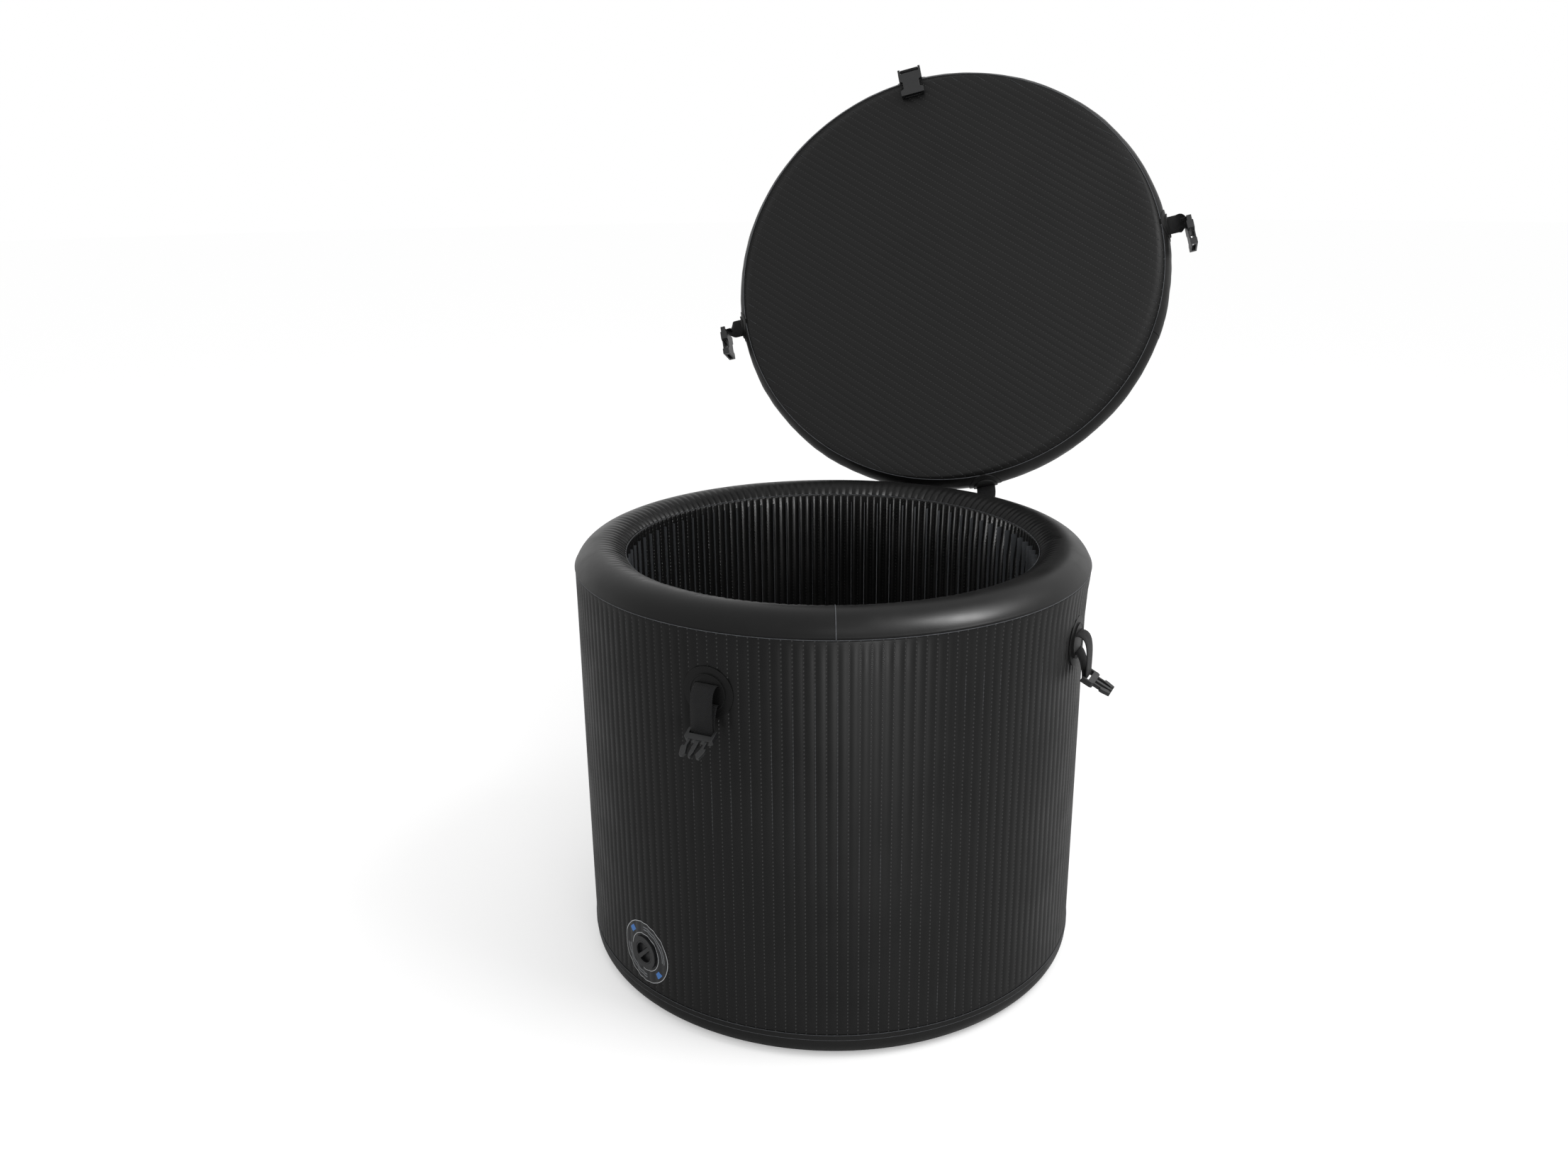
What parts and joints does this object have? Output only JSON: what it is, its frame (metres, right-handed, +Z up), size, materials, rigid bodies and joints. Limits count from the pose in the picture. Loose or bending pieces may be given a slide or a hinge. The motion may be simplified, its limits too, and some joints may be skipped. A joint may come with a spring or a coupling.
{
  "type": "inflatable cold plunge tub with folding lid",
  "caption": "Round inflatable cold plunge tub with a padded lid folded back on its rear strap, side release buckles and flush valves.",
  "frame": {"origin": "centre of the round base, on the floor", "axes": "+Z up along the tub's axis, -Y towards the front strap and +Y towards the strap that the lid folds on"},
  "size_m": [1.041, 1.4158, 1.6024],
  "materials": {
    "black_pvc": "satin coated drop stitch fabric",
    "lid_pvc": "satin coated drop stitch fabric",
    "patch_pvc": "matte moulded patch",
    "yarn": "polyester drop yarn",
    "webbing": "woven webbing",
    "buckle_plastic": "satin moulded",
    "valve_plastic": "satin moulded",
    "pin_plastic": "satin moulded",
    "seal_rubber": "matte",
    "spring_steel": "bright wire",
    "label_print": "printed film"
  },
  "bodies": {
    "tub": {"outer_wall_skin": "black_pvc", "inner_wall_skin": "black_pvc", "wall_stitch_core": "yarn", "rim_band": "black_pvc", "base_band": "black_pvc", "base_sheet": "black_pvc", "floor_sheet": "black_pvc", "floor_stitch_core": "yarn", "floor_corner_tape": "black_pvc", "tub_patch_front": "patch_pvc", "tub_patch_right": "patch_pvc", "tub_patch_rear": "patch_pvc", "tub_patch_left": "patch_pvc", "front_loop_webbing": "webbing", "right_loop_webbing": "webbing", "left_loop_webbing": "webbing", "valve_label": "label_print", "valve_body": "valve_plastic", "valve_nut": "valve_plastic", "valve_seal": "seal_rubber", "valve_spring": "spring_steel", "drain_pipe": "valve_plastic", "drain_inner_seal": "seal_rubber", "drain_outer_seal": "seal_rubber", "drain_nut": "valve_plastic", "drain_strainer": "valve_plastic"},
    "front_strap_plug": {"front_plug": "buckle_plastic"},
    "right_strap_plug": {"right_plug": "buckle_plastic"},
    "left_strap_plug": {"left_plug": "buckle_plastic"},
    "rear_strap": {"rear_disc": "patch_pvc", "rear_lower_webbing": "webbing", "rear_plug": "buckle_plastic", "rear_socket": "buckle_plastic"},
    "lid": {"rear_upper_webbing": "webbing", "lid_underside_skin": "lid_pvc", "lid_top_skin": "lid_pvc", "lid_edge_band": "lid_pvc", "lid_stitch_core": "yarn", "lid_patch_front": "patch_pvc", "lid_patch_right": "patch_pvc", "lid_patch_rear": "patch_pvc", "lid_patch_left": "patch_pvc", "lid_front_webbing": "webbing", "lid_right_webbing": "webbing", "lid_left_webbing": "webbing", "lid_valve_body": "valve_plastic", "lid_valve_nut": "valve_plastic", "lid_valve_seal": "seal_rubber", "lid_valve_spring": "spring_steel"},
    "front_socket": {"lid_front_socket": "buckle_plastic"},
    "right_socket": {"lid_right_socket": "buckle_plastic"},
    "left_socket": {"lid_left_socket": "buckle_plastic"},
    "wall_valve_cap": {"valve_cap": "valve_plastic"},
    "wall_valve_pin": {"valve_pin": "pin_plastic"},
    "lid_cap": {"lid_valve_cap": "valve_plastic"},
    "lid_pin": {"lid_valve_pin": "pin_plastic"},
    "drain_screw_cap": {"drain_cap": "valve_plastic"}
  },
  "joints": [
    {"name": "rear_strap_swing", "type": "hinge", "parent": "tub", "child": "rear_strap", "pos_m": [0, 0.489, 0.637], "axis": [0, -1, 0], "range_deg": [0, 54.8]},
    {"name": "lid_fold", "type": "hinge", "parent": "rear_strap", "child": "lid", "pos_m": [0.14079, 0.489, 0.73632], "axis": [0.8022, 0.4493, -0.3931], "range_deg": [0, 134.05], "deforming": ["rear_upper_webbing"]},
    {"name": "lid_front_socket_swing", "type": "hinge", "parent": "lid", "child": "front_socket", "pos_m": [-0.16487, 0.7858, 1.59108], "axis": [-0.9289, -0.2886, -0.232], "range_deg": [0, 90]},
    {"name": "lid_right_socket_twist", "type": "hinge", "parent": "lid", "child": "right_socket", "pos_m": [0.44603, 0.8064, 1.28103], "axis": [-0.9289, -0.2886, -0.232], "range_deg": [0, 90], "deforming": ["lid_right_webbing"]},
    {"name": "lid_left_socket_twist", "type": "hinge", "parent": "lid", "child": "left_socket", "pos_m": [-0.48568, 0.51692, 1.04837], "axis": [-0.9289, -0.2886, -0.232], "range_deg": [0, 90], "deforming": ["lid_left_webbing"]},
    {"name": "front_plug_tilt", "type": "hinge", "parent": "tub", "child": "front_strap_plug", "pos_m": [0, -0.4754, 0.577], "axis": [-1, 0, 0], "range_deg": [0, 45]},
    {"name": "right_plug_tilt", "type": "hinge", "parent": "tub", "child": "right_strap_plug", "pos_m": [0.4754, 0, 0.577], "axis": [0, -1, 0], "range_deg": [0, 45]},
    {"name": "left_plug_tilt", "type": "hinge", "parent": "tub", "child": "left_strap_plug", "pos_m": [-0.4754, 0, 0.577], "axis": [0, 1, 0], "range_deg": [0, 45]},
    {"name": "wall_valve_cap_turn", "type": "hinge", "parent": "tub", "child": "wall_valve_cap", "pos_m": [-0.15786, -0.42674, 0.114], "axis": [-0.3469, -0.9379, 0], "range_deg": [0, 90]},
    {"name": "wall_valve_pin_press", "type": "slide", "parent": "tub", "child": "wall_valve_pin", "axis": [0.3469, 0.9379, 0], "range_m": [0, 0.004], "stiffness_N_per_m": 220, "deforming": ["valve_spring"]},
    {"name": "lid_valve_cap_turn", "type": "hinge", "parent": "lid", "child": "lid_cap", "pos_m": [0.12355, 0.85404, 1.42534], "axis": [-0.1709, 0.89, -0.4228], "range_deg": [0, 90]},
    {"name": "lid_valve_pin_press", "type": "slide", "parent": "lid", "child": "lid_pin", "axis": [0.1709, -0.89, 0.4228], "range_m": [0, 0.004], "stiffness_N_per_m": 220, "deforming": ["lid_valve_spring"]},
    {"name": "drain_cap_turn", "type": "hinge", "parent": "tub", "child": "drain_screw_cap", "pos_m": [-0.32173, 0.32173, 0.106], "axis": [-0.7071, 0.7071, 0], "range_deg": [0, 90]}
  ],
  "couplings": [
    {"joint": "rear_strap_swing", "follows": "lid_fold", "ratio": 0.4088},
    {"joint": "lid_front_socket_swing", "follows": "lid_fold", "ratio": 0.6713},
    {"joint": "lid_right_socket_twist", "follows": "lid_fold", "ratio": 0.6713},
    {"joint": "lid_left_socket_twist", "follows": "lid_fold", "ratio": 0.6713}
  ]
}
